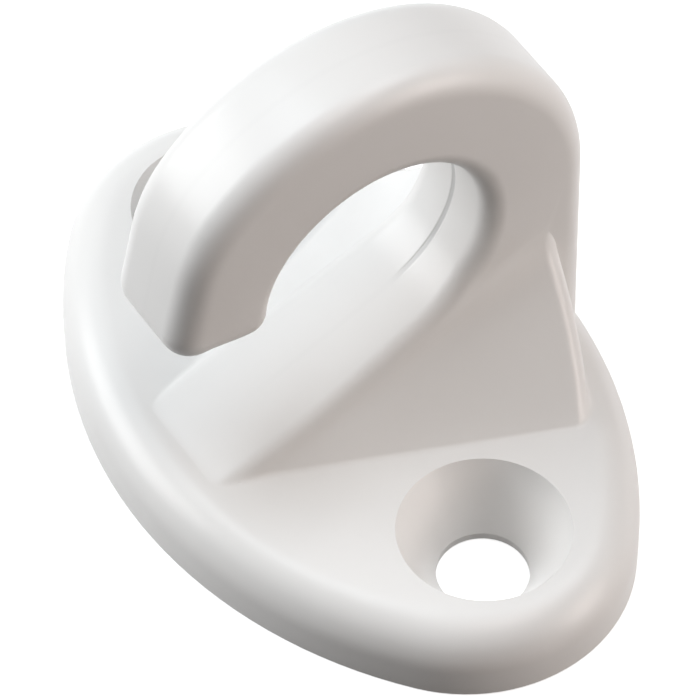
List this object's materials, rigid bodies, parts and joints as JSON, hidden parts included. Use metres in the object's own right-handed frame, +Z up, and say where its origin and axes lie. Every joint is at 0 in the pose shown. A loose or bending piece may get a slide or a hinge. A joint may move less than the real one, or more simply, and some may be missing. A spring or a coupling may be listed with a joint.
{
  "type": "tie-down hook",
  "caption": "Moulded plastic tie-down hook: an oval base with countersunk screw holes, and a flat curl round an open eye, above a ramp with spreading flanks.",
  "frame": {"origin": "middle of the flat mounting face under the base", "axes": "+X along the base through both screw holes, -Y towards the open side of the curl, +Z up from the mounting face"},
  "size_m": [0.038, 0.0246, 0.0261],
  "materials": {
    "white_plastic": "satin white"
  },
  "bodies": {
    "root": {"hook_body": "white_plastic"}
  },
  "joints": []
}
